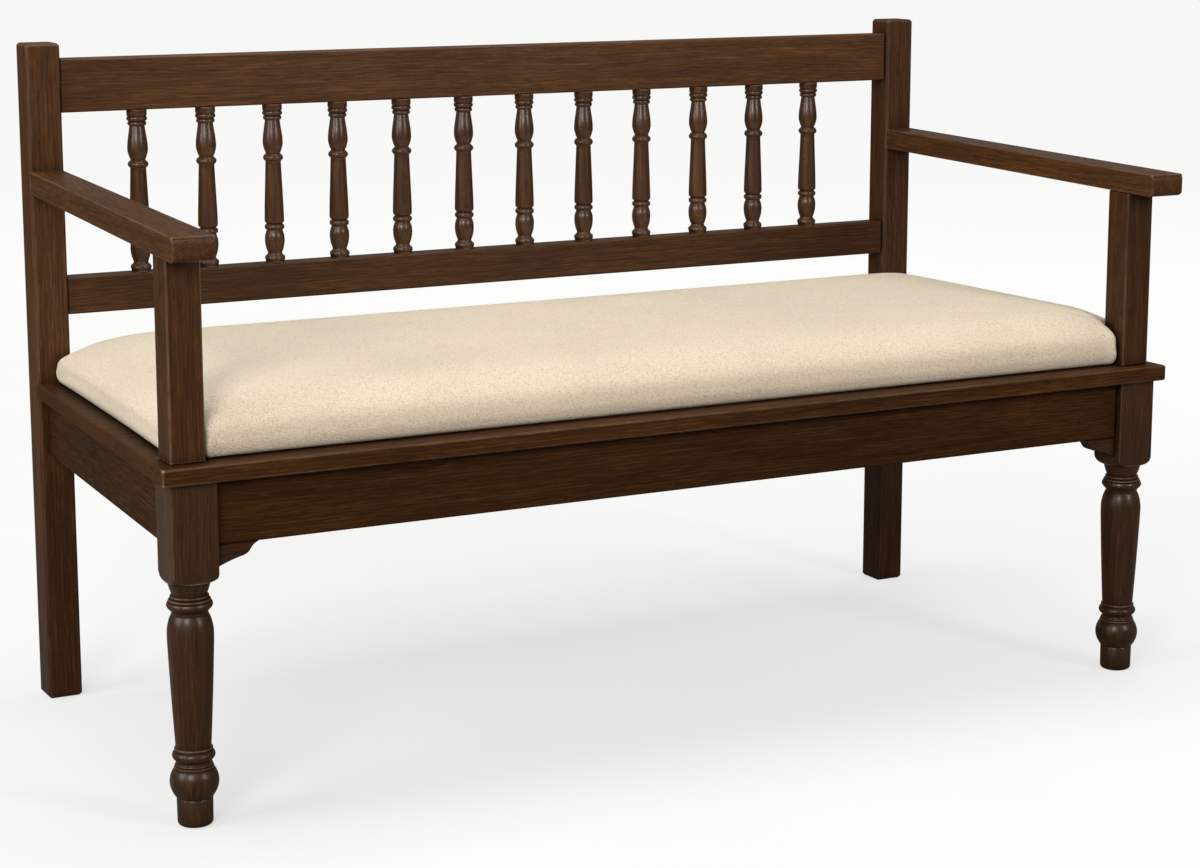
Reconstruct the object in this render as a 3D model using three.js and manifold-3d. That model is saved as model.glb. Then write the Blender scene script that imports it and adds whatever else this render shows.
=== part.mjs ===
// An open-backed pew: square rear posts, two rails with turned spindles between them, arms on square
// posts, turned front legs, and a plank seat that carries one long upholstered pad.
// Millimetres, +Z up, +X along the seat, +Y to the rear, origin under the middle of the bounding box.

import * as THREE from 'three';
import { mergeVertices } from 'three/addons/utils/BufferGeometryUtils.js';
import Module from 'manifold-3d';

const wasm = await Module();
wasm.setup();

// ---- Driving dimensions -------------------------------------------------------------------------
// Inside the assembly, y = 0 is the front face of the rear posts and the seat runs towards -y.

const OVERALL_HEIGHT = 850;
const REAR_LENGTH = 1334;        // over the outer faces of the rear posts
const POST = 44;                 // section of a rear post
const SEAT_DEPTH = 568;          // rear post face to the front edge of the seat
const END_FLARE = 26;            // how far each seat end stands out further at the front edge
const SEAT_TOP = 419;
const PLANK = 20;                // thickness of the seat planks
const PLANK_WIDTH = 190;         // of the front and the middle plank; the rear one takes the rest
const SEAT_BEHIND_FACE = 36;     // how far the rear plank runs back between the posts

const CREST_TOP = 830;
const CREST_BOTTOM = 762;
const LOWER_RAIL_TOP = 552;
const LOWER_RAIL_BOTTOM = 504;
const RAIL_FRONT = 6;            // rails sit this far behind the face of the rear posts
const RAIL_THICKNESS = 26;
const SPINDLES = 12;
const SPINDLE_PITCH = 92.5;
const SPINDLE_ROW_SHIFT = -11;   // the row stands a little to the left of the middle
const SPINDLE_TENON = 12;        // diameter and length of a spindle's round tenons

const LEG = 54;                  // square block at the head of a front leg
const LEG_SETBACK = 9;           // leg face behind the seat's front edge
const LEG_INSET = 12;            // leg side inside the seat's end
const APRON_BOTTOM = 324;
const APRON_THICKNESS = 22;
const APRON_SETBACK = 9;         // apron face behind the leg face
const SIDE_APRON_INSET = 12;     // side apron inside the seat's end

const ARM_THICKNESS = 29;
const ARM_TOP = 690;             // at the rear post
const ARM_FALL = 13;             // how much lower the arm is at its front end
const ARM_OVERHANG = 30;         // front end of the arm ahead of the seat
const ARM_FRONT_INNER = 635;
const ARM_FRONT_OUTER = 685;
const ARM_CORNER = 4;            // rounding of the arm's front corners seen from above
const ARM_NOSE_TOP = 5.5;        // rounding of its front end seen from the side
const ARM_NOSE_BOTTOM = 10;
const ARM_POST = 41;
const ARM_POST_SETBACK = 20;     // arm post face behind the seat's front edge
const ARM_POST_INSET = 16;       // arm post side inside the seat's end at the front

const PAD_HEIGHT = 69;           // seat top to the crown of the pad
const PAD_INSET = 16;            // pad edge inside the seat's ends
const PAD_FRONT_MARGIN = 26;     // pad edge behind the seat's front edge
const PAD_BASE = 9;              // plywood under the pad

const TENON = 9;                 // thickness of apron tenons
const RAIL_TENON = 12;           // thickness of back rail tenons
const DOWEL = 12;
const GAP = 0.3;                 // clearance between touching pieces
const EASE = 2;                  // small chamfer on sawn edges
const POST_EASE = 3;
const PLANK_EASE = 1.6;
const ARM_POST_EASE = 1.5;
const LEG_EASE = 1.2;

// ---- Worked-out places --------------------------------------------------------------------------

const ENDS = [['left', -1], ['right', 1]];
const REAR_X = REAR_LENGTH / 2;
const FRAME_TOP = SEAT_TOP - PLANK - GAP;
const SEAT_FRONT = -SEAT_DEPTH;
const ARM_FRONT = SEAT_FRONT - ARM_OVERHANG;
const LEG_X = REAR_X + END_FLARE - LEG_INSET - LEG / 2;
const LEG_Y = SEAT_FRONT + LEG_SETBACK + LEG / 2;
const APRON_FRONT = SEAT_FRONT + LEG_SETBACK + APRON_SETBACK;
const SIDE_APRON_X = REAR_X - SIDE_APRON_INSET - APRON_THICKNESS / 2;
const ARM_POST_X = REAR_X + END_FLARE - ARM_POST_INSET - ARM_POST / 2;
const ARM_POST_Y = SEAT_FRONT + ARM_POST_SETBACK + ARM_POST / 2;
const RAIL_MID = RAIL_FRONT + RAIL_THICKNESS / 2;
const REAR_APRON_FRONT = 8;
const PAD_FRONT = SEAT_FRONT + PAD_FRONT_MARGIN;
const PAD_REAR = -3;
const PAD_X = REAR_X - PAD_INSET;
const PLANK_JOINTS = [SEAT_FRONT + PLANK_WIDTH, SEAT_FRONT + 2 * PLANK_WIDTH];
const BEARER_X = 220;
const BEARER_BOTTOM = 354;
const TENON_LOW = APRON_BOTTOM + 10;
const TENON_HIGH = FRAME_TOP - 22;

// ---- Materials ----------------------------------------------------------------------------------

const WOOD = { color: 0x4d3524, roughness: 0.42, metalness: 0 };
const HIDDEN_WOOD = { color: 0x8a6a48, roughness: 0.75, metalness: 0 };
const PLY = { color: 0xb8935f, roughness: 0.8, metalness: 0 };
const CLOTH = { color: 0xdccbb0, roughness: 0.95, metalness: 0 };
const STEEL = { color: 0x9c9a94, roughness: 0.35, metalness: 1 };

// ---- Solid modelling helpers --------------------------------------------------------------------

function toSolid(geometry) {
  const bare = geometry.clone();
  bare.deleteAttribute('normal');
  bare.deleteAttribute('uv');
  const merged = mergeVertices(bare, 1e-3);
  return new wasm.Manifold(new wasm.Mesh({
    numProp: 3,
    vertProperties: new Float32Array(merged.attributes.position.array),
    triVerts: new Uint32Array(merged.index.array),
  }));
}

function toGeometry(solid) {
  const mesh = solid.getMesh();
  const geometry = new THREE.BufferGeometry();
  geometry.setAttribute('position', new THREE.BufferAttribute(new Float32Array(mesh.vertProperties), 3));
  geometry.setIndex(new THREE.BufferAttribute(new Uint32Array(mesh.triVerts), 1));
  geometry.computeVertexNormals();
  return geometry;
}

function join(body, ...extras) {
  return toGeometry(extras.reduce((solid, extra) => solid.add(toSolid(extra)), toSolid(body)));
}

function cut(body, ...tools) {
  return toGeometry(tools.reduce((solid, tool) => solid.subtract(toSolid(tool)), toSolid(body)));
}

function common(body, other) {
  return toGeometry(toSolid(body).intersect(toSolid(other)));
}

// Moves every vertex of a geometry and returns it.
function reshape(geometry, move) {
  const places = geometry.attributes.position;
  const point = new THREE.Vector3();
  for (let i = 0; i < places.count; i += 1) {
    point.fromBufferAttribute(places, i);
    move(point);
    places.setXYZ(i, point.x, point.y, point.z);
  }
  return geometry;
}

// The seat widens evenly from the rear posts to its front edge.
function flare(geometry) {
  return reshape(geometry, (point) => {
    point.x *= 1 + (END_FLARE / REAR_X) * Math.max(0, -point.y / SEAT_DEPTH);
  });
}

// The arms come down slightly towards the front.
function fall(geometry, aboveZ = 0) {
  return reshape(geometry, (point) => {
    if (point.z > aboveZ) point.z += (ARM_FALL * point.y) / -ARM_FRONT;
  });
}

function mirrored(geometry) {
  const flipped = toGeometry(toSolid(geometry));
  flipped.scale(-1, 1, 1);
  const corners = flipped.index.array;
  for (let i = 0; i < corners.length; i += 3) {
    [corners[i], corners[i + 1]] = [corners[i + 1], corners[i]];
  }
  return flipped;
}

// A box between two limits on each axis. grown() gives the same box with clearance all round.
function slab({ x, y, z }) {
  const box = new THREE.BoxGeometry(x[1] - x[0], y[1] - y[0], z[1] - z[0]);
  return box.translate((x[0] + x[1]) / 2, (y[0] + y[1]) / 2, (z[0] + z[1]) / 2);
}

function grown({ x, y, z }, by = GAP) {
  const wider = ([low, high]) => [low - by, high + by];
  return { x: wider(x), y: wider(y), z: wider(z) };
}

// A board between two limits on each axis with all its edges eased.
function board({ x, y, z }, ease = EASE) {
  const outline = new THREE.Shape();
  const [left, right] = [x[0], x[1]];
  const [front, rear] = [y[0], y[1]];
  outline.moveTo(left + ease, front);
  outline.lineTo(right - ease, front);
  outline.lineTo(right, front + ease);
  outline.lineTo(right, rear - ease);
  outline.lineTo(right - ease, rear);
  outline.lineTo(left + ease, rear);
  outline.lineTo(left, rear - ease);
  outline.lineTo(left, front + ease);
  outline.closePath();
  const solid = new THREE.ExtrudeGeometry(outline, {
    depth: z[1] - z[0] - 2 * ease,
    bevelThickness: ease,
    bevelSize: ease,
    bevelOffset: -ease,
    bevelSegments: 1,
  });
  return solid.translate(0, 0, z[0] + ease);
}

function extrudedPlan(points, z) {
  const outline = new THREE.Shape(points.map(([px, py]) => new THREE.Vector2(px, py)));
  const solid = new THREE.ExtrudeGeometry(outline, { depth: z[1] - z[0], bevelEnabled: false });
  return solid.translate(0, 0, z[0]);
}

// Turned about a vertical axis from [radius, height] points that run upwards from the axis.
function turned(profile, sides) {
  const lathe = new THREE.LatheGeometry(profile.map(([r, z]) => new THREE.Vector2(r, z)), sides);
  return lathe.rotateX(Math.PI / 2);
}

function peg(diameter, x, y, z) {
  const rod = new THREE.CylinderGeometry(diameter / 2, diameter / 2, z[1] - z[0], 12);
  return rod.rotateX(Math.PI / 2).translate(x, y, (z[0] + z[1]) / 2);
}

const pew = new THREE.Group();
const assembly = new THREE.Group();
assembly.position.y = -(ARM_FRONT + POST) / 2;
pew.add(assembly);

function add(name, geometry, look, place = [0, 0, 0]) {
  const mesh = new THREE.Mesh(geometry, new THREE.MeshStandardMaterial(look));
  mesh.name = name;
  mesh.position.set(...place);
  assembly.add(mesh);
}

function addPair(stem, geometry, look) {
  for (const [end, side] of ENDS) {
    add(`${stem}_${end}`, side > 0 ? geometry : mirrored(geometry), look);
  }
}

// ---- Joints, each stated once on the right-hand end ---------------------------------------------

const postInner = REAR_X - POST;
const legInner = LEG_X - LEG / 2;
const railTenonY = [RAIL_MID - RAIL_TENON / 2, RAIL_MID + RAIL_TENON / 2];
const RAIL_TENON_LENGTH = 26;

const crestTenon = {
  x: [postInner - 1, postInner + RAIL_TENON_LENGTH], y: railTenonY, z: [CREST_BOTTOM + 12, CREST_TOP - 12],
};
const lowerRailTenon = {
  x: [postInner - 1, postInner + RAIL_TENON_LENGTH], y: railTenonY,
  z: [LOWER_RAIL_BOTTOM + 10, LOWER_RAIL_TOP - 10],
};
const rearApronTenon = {
  x: [postInner - 1, postInner + 13],
  y: [REAR_APRON_FRONT + 7, REAR_APRON_FRONT + 7 + TENON], z: [TENON_LOW, TENON_HIGH],
};
const frontApronTenon = {
  x: [legInner - 1, legInner + 30],
  y: [APRON_FRONT + 6, APRON_FRONT + 6 + TENON], z: [TENON_LOW, TENON_HIGH],
};
const sideTenonX = [SIDE_APRON_X - TENON / 2, SIDE_APRON_X + TENON / 2];
const sideApronRearTenon = { x: sideTenonX, y: [-1, 24], z: [TENON_LOW, TENON_HIGH] };
const sideApronFrontTenon = {
  x: sideTenonX, y: [LEG_Y + LEG / 2 - 24, LEG_Y + LEG / 2 + 1], z: [TENON_LOW, TENON_HIGH],
};
const armTenon = {
  x: [REAR_X - POST / 2 - 12, REAR_X - POST / 2 + 12], y: [-1, 18],
  z: [ARM_TOP - ARM_THICKNESS + 8, ARM_TOP - 8],
};
const lowerDowelZ = [379, 445];
const upperDowelZ = [625, 668];

// A rail or bearer gets a tenon on both ends.
const bothEnds = (joint) => [slab(joint), mirrored(slab(joint))];

// ---- Back: posts, rails, spindles ---------------------------------------------------------------

function rearPost() {
  const blank = board({ x: [postInner, REAR_X], y: [0, POST], z: [0, OVERALL_HEIGHT] }, POST_EASE);
  const railMortises = [crestTenon, lowerRailTenon, rearApronTenon].map((joint) => slab(grown(joint)));
  return cut(blank, ...railMortises, slab(grown(sideApronRearTenon)), fall(slab(grown(armTenon))));
}

const spindleX = (index) => SPINDLE_ROW_SHIFT + (index - (SPINDLES - 1) / 2) * SPINDLE_PITCH;

function backRail(z, tenon, holeFloor, holeMouth) {
  const span = [-postInner + GAP, postInner - GAP];
  const blank = board({ x: span, y: [RAIL_FRONT, RAIL_FRONT + RAIL_THICKNESS], z });
  const holes = [];
  for (let i = 0; i < SPINDLES; i += 1) {
    const depth = [Math.min(holeFloor, holeMouth), Math.max(holeFloor, holeMouth)];
    holes.push(peg(SPINDLE_TENON + 2 * GAP, spindleX(i), RAIL_MID, depth));
  }
  return cut(join(blank, ...bothEnds(tenon)), ...holes);
}

// Heights run from 0 at the lower rail to 1 at the crest rail, radii in millimetres.
const SPINDLE_PROFILE = [
  [12.2, 0.0], [13.2, 0.03], [9.4, 0.06], [11.9, 0.095], [13.1, 0.14], [12.5, 0.175], [10.5, 0.203],
  [13.1, 0.218], [13.1, 0.234], [10.3, 0.248], [13.0, 0.266], [12.5, 0.36], [10.2, 0.637], [13.2, 0.656],
  [13.2, 0.672], [9.4, 0.691], [13.2, 0.754], [12.7, 0.8], [9.8, 0.9], [13.2, 0.94], [13.0, 0.965],
  [13.0, 1],
];

function spindle() {
  const length = CREST_BOTTOM - LOWER_RAIL_TOP - 2 * GAP;
  const tenon = SPINDLE_TENON;
  const middle = SPINDLE_PROFILE.map(([radius, part]) => [radius, part * length]);
  const profile = [
    [0, -tenon], [tenon / 2, -tenon], [tenon / 2, 0], ...middle,
    [tenon / 2, length], [tenon / 2, length + tenon], [0, length + tenon],
  ];
  return turned(profile, 10);
}

addPair('rear_post', rearPost(), WOOD);
add('crest_rail',
  backRail([CREST_BOTTOM, CREST_TOP], crestTenon, CREST_BOTTOM + SPINDLE_TENON + 1, CREST_BOTTOM - 1), WOOD);
add('lower_back_rail',
  backRail([LOWER_RAIL_BOTTOM, LOWER_RAIL_TOP], lowerRailTenon,
    LOWER_RAIL_TOP - SPINDLE_TENON - 1, LOWER_RAIL_TOP + 1), WOOD);
for (let i = 0; i < SPINDLES; i += 1) {
  const label = String(i + 1).padStart(2, '0');
  add(`spindle_${label}`, spindle(), WOOD, [spindleX(i), RAIL_MID, LOWER_RAIL_TOP + GAP]);
}

// ---- Front legs ---------------------------------------------------------------------------------

// Radius and height of the turning; above it the round shoulder opens past the block's corners, so
// the square blank cuts it to the block with its rounded lower corners.
const LEG_PROFILE = [
  [0, 0], [17, 0], [20.2, 3], [20.6, 31.5], [20, 32.5], [24.5, 38], [27.4, 45], [27.8, 52], [26.6, 59],
  [23.4, 66], [20.2, 72.5], [19.9, 75.5], [23, 78.5], [24.6, 82], [23.6, 87], [21.6, 90.5], [19.7, 92.5],
  [26.1, 212], [26.3, 222], [25, 234.5], [20.4, 246], [24.6, 249.5], [26.6, 255], [25, 260.5], [22.4, 264.5],
  [20.2, 268.6], [21.4, 273], [25.8, 281.5], [31.5, 283.4], [35.4, 287], [36.8, 291], [39.5, 291.6],
];

function frontLeg() {
  const shape = turned([...LEG_PROFILE, [39.5, FRAME_TOP], [0, FRAME_TOP]], 16).translate(LEG_X, LEG_Y, 0);
  const blank = board({
    x: [LEG_X - LEG / 2, LEG_X + LEG / 2],
    y: [LEG_Y - LEG / 2, LEG_Y + LEG / 2],
    z: [-EASE, FRAME_TOP],
  }, LEG_EASE);
  return cut(
    common(blank, shape),
    slab(grown(frontApronTenon)),
    flare(slab(grown(sideApronFrontTenon))),
    peg(DOWEL + 2 * GAP, ARM_POST_X, ARM_POST_Y, [lowerDowelZ[0] - GAP, FRAME_TOP + 1]),
  );
}

addPair('front_leg', frontLeg(), WOOD);

// ---- Aprons and brackets ------------------------------------------------------------------------

function crossApron(halfLength, front, tenon) {
  const blank = board({
    x: [-halfLength + GAP, halfLength - GAP],
    y: [front, front + APRON_THICKNESS],
    z: [APRON_BOTTOM, FRAME_TOP],
  });
  return join(blank, ...bothEnds(tenon));
}

// Bearers run front to rear under the planks and are housed in both aprons.
const bearerHousing = (x, y) => ({ x: [x - 6, x + 6], y, z: [BEARER_BOTTOM + 10, FRAME_TOP - 10] });
const bearerSpan = [APRON_FRONT + APRON_THICKNESS, REAR_APRON_FRONT];
const frontHousingY = [bearerSpan[0] - 9, bearerSpan[0] + 1];
const rearHousingY = [bearerSpan[1] - 1, bearerSpan[1] + 9];
const housingCutters = (y) => [-BEARER_X, BEARER_X].map((x) => slab(grown(bearerHousing(x, y))));

function bearer(x) {
  const bar = board({
    x: [x - 15, x + 15], y: [bearerSpan[0] + GAP, bearerSpan[1] - GAP], z: [BEARER_BOTTOM, FRAME_TOP],
  });
  return join(bar, slab(bearerHousing(x, frontHousingY)), slab(bearerHousing(x, rearHousingY)));
}

function sideApron() {
  const bar = board({
    x: [SIDE_APRON_X - APRON_THICKNESS / 2, SIDE_APRON_X + APRON_THICKNESS / 2],
    y: [LEG_Y + LEG / 2 + GAP, -GAP],
    z: [APRON_BOTTOM, FRAME_TOP],
  });
  return flare(join(bar, slab(sideApronRearTenon), slab(sideApronFrontTenon)));
}

// The scrolled bracket under the front apron, drawn from the leg outwards.
function bracket() {
  const length = 50;
  const drop = 26;
  const root = legInner - GAP;
  const top = APRON_BOTTOM - GAP;
  const tip = root - length;
  const outline = new THREE.Shape();
  outline.moveTo(root, top);
  outline.lineTo(tip, top);
  outline.quadraticCurveTo(tip + 7, top - 3, tip + 10, top - 9);
  outline.quadraticCurveTo(tip + 13, top - 14, tip + 21, top - 15.5);
  outline.quadraticCurveTo(root - 13, top - 19.5, root, top - drop);
  outline.closePath();
  const plate = new THREE.ExtrudeGeometry(outline, {
    depth: APRON_THICKNESS - 4, curveSegments: 5, bevelThickness: 1, bevelSize: 1, bevelOffset: -1,
    bevelSegments: 1,
  });
  return plate.rotateX(Math.PI / 2).translate(0, APRON_FRONT + APRON_THICKNESS - 2, 0);
}

add('front_apron',
  cut(crossApron(legInner, APRON_FRONT, frontApronTenon), ...housingCutters(frontHousingY)), WOOD);
add('rear_apron',
  cut(crossApron(postInner, REAR_APRON_FRONT, rearApronTenon), ...housingCutters(rearHousingY)), WOOD);
addPair('side_apron', sideApron(), WOOD);
addPair('apron_bracket', bracket(), WOOD);
addPair('cross_bearer', bearer(BEARER_X), HIDDEN_WOOD);

// ---- Corner blocks and the screws through them --------------------------------------------------

const sideApronInner = SIDE_APRON_X - APRON_THICKNESS / 2 - GAP;
const BLOCK_Z = [350, FRAME_TOP];
const frontBlockRoot = APRON_FRONT + APRON_THICKNESS + GAP;
const rearBlockRoot = REAR_APRON_FRONT - GAP;
const BLOCK_LEG = 63;            // length of a corner block along each apron
// The flare is undone here so that a corner can be given where it really is.
const unflared = (x, y) => x / (1 + (END_FLARE / REAR_X) * Math.max(0, -y / SEAT_DEPTH));

function frontBlockPlan() {
  const legRear = LEG_Y + LEG / 2 + GAP;
  const legSide = legInner - GAP;
  return [
    [unflared(legSide - BLOCK_LEG, frontBlockRoot), frontBlockRoot],
    [unflared(legSide, frontBlockRoot), frontBlockRoot],
    [unflared(legSide, legRear), legRear],
    [sideApronInner, legRear],
    [sideApronInner, legRear + BLOCK_LEG],
  ];
}

function rearBlockPlan() {
  const postSide = postInner - GAP;
  return [
    [postSide - BLOCK_LEG, rearBlockRoot],
    [sideApronInner, -GAP - BLOCK_LEG],
    [sideApronInner, -GAP],
    [postSide, -GAP],
    [postSide, rearBlockRoot],
  ];
}

// Seat screws pass up through a corner block into the plank above it.
const SCREW_HEAD_HEIGHT = 2.6;
const SEAT_SCREW = { diameter: 4, head: 8, seat: BLOCK_Z[0], tip: SEAT_TOP - 7 };
const PAD_SCREW = { diameter: 4, head: 9, seat: FRAME_TOP, tip: SEAT_TOP + GAP + PAD_BASE - 2 };
const seatScrewPlaces = [
  [legInner - 32, frontBlockRoot + 12], [SIDE_APRON_X - 12, LEG_Y + LEG / 2 + 28],
  [postInner - 26, rearBlockRoot - 13], [SIDE_APRON_X - 32, -34],
];
const padScrewPlaces = [[450, -130], [450, -420]];

function screw({ diameter, head, seat, tip }, x, y) {
  const bottom = seat - SCREW_HEAD_HEIGHT;
  return turned([
    [0, bottom], [head / 2 - 1.2, bottom], [head / 2, bottom + 1.4], [head / 2, seat],
    [diameter / 2, seat], [diameter / 2, tip - 5], [0, tip],
  ], 8).translate(x, y, 0);
}

const screwHole = ({ diameter, tip }, [x, y], from) => peg(diameter + 3 * GAP, x, y, [from, tip + 1]);
const mirroredPlaces = (places) => places.flatMap(([x, y]) => [[-x, y], [x, y]]);
const holesFor = (kind, places, from) => places.map((place) => screwHole(kind, place, from));

function cornerBlock(plan) {
  const block = flare(extrudedPlan(plan, BLOCK_Z));
  return cut(block, ...holesFor(SEAT_SCREW, seatScrewPlaces, BLOCK_Z[0] - 1));
}

addPair('front_corner_block', cornerBlock(frontBlockPlan()), HIDDEN_WOOD);
addPair('rear_corner_block', cornerBlock(rearBlockPlan()), HIDDEN_WOOD);
seatScrewPlaces.forEach(([x, y], index) => {
  addPair(`seat_screw_${index + 1}`, screw(SEAT_SCREW, x, y), STEEL);
});
padScrewPlaces.forEach(([x, y], index) => {
  addPair(`pad_screw_${index + 1}`, screw(PAD_SCREW, x, y), STEEL);
});

// ---- Seat planks --------------------------------------------------------------------------------

// The three planks are cut from one outline, so that only its outer edges are eased.
function seatPlank(y) {
  const whole = flare(board({
    x: [-REAR_X, REAR_X], y: [SEAT_FRONT, SEAT_BEHIND_FACE], z: [SEAT_TOP - PLANK, SEAT_TOP],
  }, PLANK_EASE));
  const strip = common(whole, slab({ x: [-REAR_LENGTH, REAR_LENGTH], y, z: [0, OVERALL_HEIGHT] }));
  const dowelHoles = ENDS.map(([, side]) => (
    peg(DOWEL + 2 * GAP, side * ARM_POST_X, ARM_POST_Y, [SEAT_TOP - PLANK - 1, SEAT_TOP + 1])));
  const postNotches = bothEnds({
    x: [postInner - GAP, REAR_X + POST], y: [-GAP, POST + 1], z: [0, OVERALL_HEIGHT],
  });
  const below = SEAT_TOP - PLANK - 1;
  return cut(strip, ...dowelHoles, ...postNotches,
    ...holesFor(SEAT_SCREW, mirroredPlaces(seatScrewPlaces), below),
    ...holesFor(PAD_SCREW, mirroredPlaces(padScrewPlaces), below));
}

add('seat_plank_front', seatPlank([SEAT_FRONT - 1, PLANK_JOINTS[0] - GAP / 2]), WOOD);
add('seat_plank_middle', seatPlank([PLANK_JOINTS[0] + GAP / 2, PLANK_JOINTS[1] - GAP / 2]), WOOD);
add('seat_plank_rear', seatPlank([PLANK_JOINTS[1] + GAP / 2, SEAT_BEHIND_FACE + 1]), WOOD);

// ---- Arms ---------------------------------------------------------------------------------------

function armPost() {
  const blank = board({
    x: [ARM_POST_X - ARM_POST / 2, ARM_POST_X + ARM_POST / 2],
    y: [ARM_POST_Y - ARM_POST / 2, ARM_POST_Y + ARM_POST / 2],
    z: [SEAT_TOP + GAP, ARM_TOP - ARM_THICKNESS - GAP],
  }, ARM_POST_EASE);
  return cut(
    fall(blank, SEAT_TOP + ARM_POST),
    peg(DOWEL + 2 * GAP, ARM_POST_X, ARM_POST_Y, [SEAT_TOP - 1, lowerDowelZ[1] + GAP]),
    peg(DOWEL + 2 * GAP, ARM_POST_X, ARM_POST_Y, [upperDowelZ[0] - GAP, ARM_TOP]),
  );
}

// The arm seen from above: straight-sided, widening to a front end with small round corners.
function armPlan() {
  const outline = new THREE.Shape();
  outline.moveTo(postInner, -GAP);
  outline.lineTo(ARM_FRONT_INNER, ARM_FRONT + ARM_CORNER);
  outline.quadraticCurveTo(ARM_FRONT_INNER, ARM_FRONT, ARM_FRONT_INNER + ARM_CORNER, ARM_FRONT);
  outline.lineTo(ARM_FRONT_OUTER - ARM_CORNER, ARM_FRONT);
  outline.quadraticCurveTo(ARM_FRONT_OUTER, ARM_FRONT, ARM_FRONT_OUTER, ARM_FRONT + ARM_CORNER);
  outline.lineTo(REAR_X, -GAP);
  outline.closePath();
  return new THREE.ExtrudeGeometry(outline, {
    depth: ARM_THICKNESS - 2 * EASE, curveSegments: 3,
    bevelThickness: EASE, bevelSize: EASE, bevelOffset: -EASE, bevelSegments: 1,
  }).translate(0, 0, ARM_TOP - ARM_THICKNESS + EASE);
}

// The arm seen from the side, with its rounded nose. The shape's own axes are turned to y, z and x.
function armSide() {
  const bottom = ARM_TOP - ARM_THICKNESS;
  const outline = new THREE.Shape();
  outline.moveTo(0, bottom);
  outline.lineTo(0, ARM_TOP);
  outline.lineTo(ARM_FRONT + ARM_NOSE_TOP, ARM_TOP);
  outline.quadraticCurveTo(ARM_FRONT, ARM_TOP, ARM_FRONT, ARM_TOP - ARM_NOSE_TOP);
  outline.lineTo(ARM_FRONT, bottom + ARM_NOSE_BOTTOM);
  outline.quadraticCurveTo(ARM_FRONT, bottom, ARM_FRONT + ARM_NOSE_BOTTOM, bottom);
  outline.closePath();
  const [xAxis, yAxis, zAxis] = [0, 1, 2].map((i) => new THREE.Vector3().setComponent(i, 1));
  return new THREE.ExtrudeGeometry(outline, {
    depth: ARM_FRONT_OUTER, curveSegments: 4, bevelEnabled: false,
  }).applyMatrix4(new THREE.Matrix4().makeBasis(yAxis, zAxis, xAxis));
}

function armrest() {
  return cut(
    fall(join(common(armPlan(), armSide()), slab(armTenon))),
    peg(DOWEL + 2 * GAP, ARM_POST_X, ARM_POST_Y, [SEAT_TOP, upperDowelZ[1] + GAP]),
  );
}

addPair('arm_post', armPost(), WOOD);
addPair('armrest', armrest(), WOOD);
addPair('arm_post_dowel', peg(DOWEL, ARM_POST_X, ARM_POST_Y, lowerDowelZ), HIDDEN_WOOD);
addPair('armrest_dowel', peg(DOWEL, ARM_POST_X, ARM_POST_Y, upperDowelZ), HIDDEN_WOOD);

// ---- Upholstered pad ----------------------------------------------------------------------------

const NOTCH_CLEARANCE = 1.5;

// Room for the arm posts at the front corners of the pad and of its base.
const postNotch = (margin) => ({
  x: [ARM_POST_X - ARM_POST / 2 - margin, REAR_LENGTH],
  y: [SEAT_FRONT - 1, ARM_POST_Y + ARM_POST / 2 + margin],
  z: [0, OVERALL_HEIGHT],
});

// A stack of round-cornered rectangles, each given by its height and how far it is drawn in.
function stackedPad(layers) {
  const perCorner = 4;
  const rings = layers.map(([z, inset]) => {
    const round = 16;
    const halfX = PAD_X - inset - round;
    const halfY = (PAD_REAR - PAD_FRONT) / 2 - inset - round;
    const midY = (PAD_REAR + PAD_FRONT) / 2;
    const ring = [];
    for (const [quarter, sx, sy] of [[0, 1, 1], [1, -1, 1], [2, -1, -1], [3, 1, -1]]) {
      for (let i = 0; i < perCorner; i += 1) {
        const angle = ((quarter + i / (perCorner - 1)) * Math.PI) / 2;
        ring.push([sx * halfX + round * Math.cos(angle), midY + sy * halfY + round * Math.sin(angle), z]);
      }
    }
    return ring;
  });
  const count = rings[0].length;
  const corners = rings.flat();
  const faces = [];
  for (let level = 0; level + 1 < rings.length; level += 1) {
    for (let i = 0; i < count; i += 1) {
      const a = level * count + i;
      const b = level * count + ((i + 1) % count);
      faces.push(a, b, b + count, a, b + count, a + count);
    }
  }
  const last = (rings.length - 1) * count;
  for (let i = 1; i + 1 < count; i += 1) {
    faces.push(0, i + 1, i, last, last + i, last + i + 1);
  }
  const geometry = new THREE.BufferGeometry();
  geometry.setAttribute('position', new THREE.Float32BufferAttribute(corners.flat(), 3));
  geometry.setIndex(faces);
  return geometry;
}

const PAD_BOTTOM = SEAT_TOP + GAP;
const PAD_TOP = SEAT_TOP + PAD_HEIGHT;
const BASE_INSET = 14;

function padBase() {
  const sheet = flare(board({
    x: [-PAD_X + BASE_INSET, PAD_X - BASE_INSET],
    y: [PAD_FRONT + BASE_INSET, PAD_REAR - BASE_INSET],
    z: [PAD_BOTTOM, PAD_BOTTOM + PAD_BASE],
  }, 1));
  return cut(sheet, ...bothEnds(postNotch(NOTCH_CLEARANCE + BASE_INSET)),
    ...holesFor(PAD_SCREW, mirroredPlaces(padScrewPlaces), SEAT_TOP));
}

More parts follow.
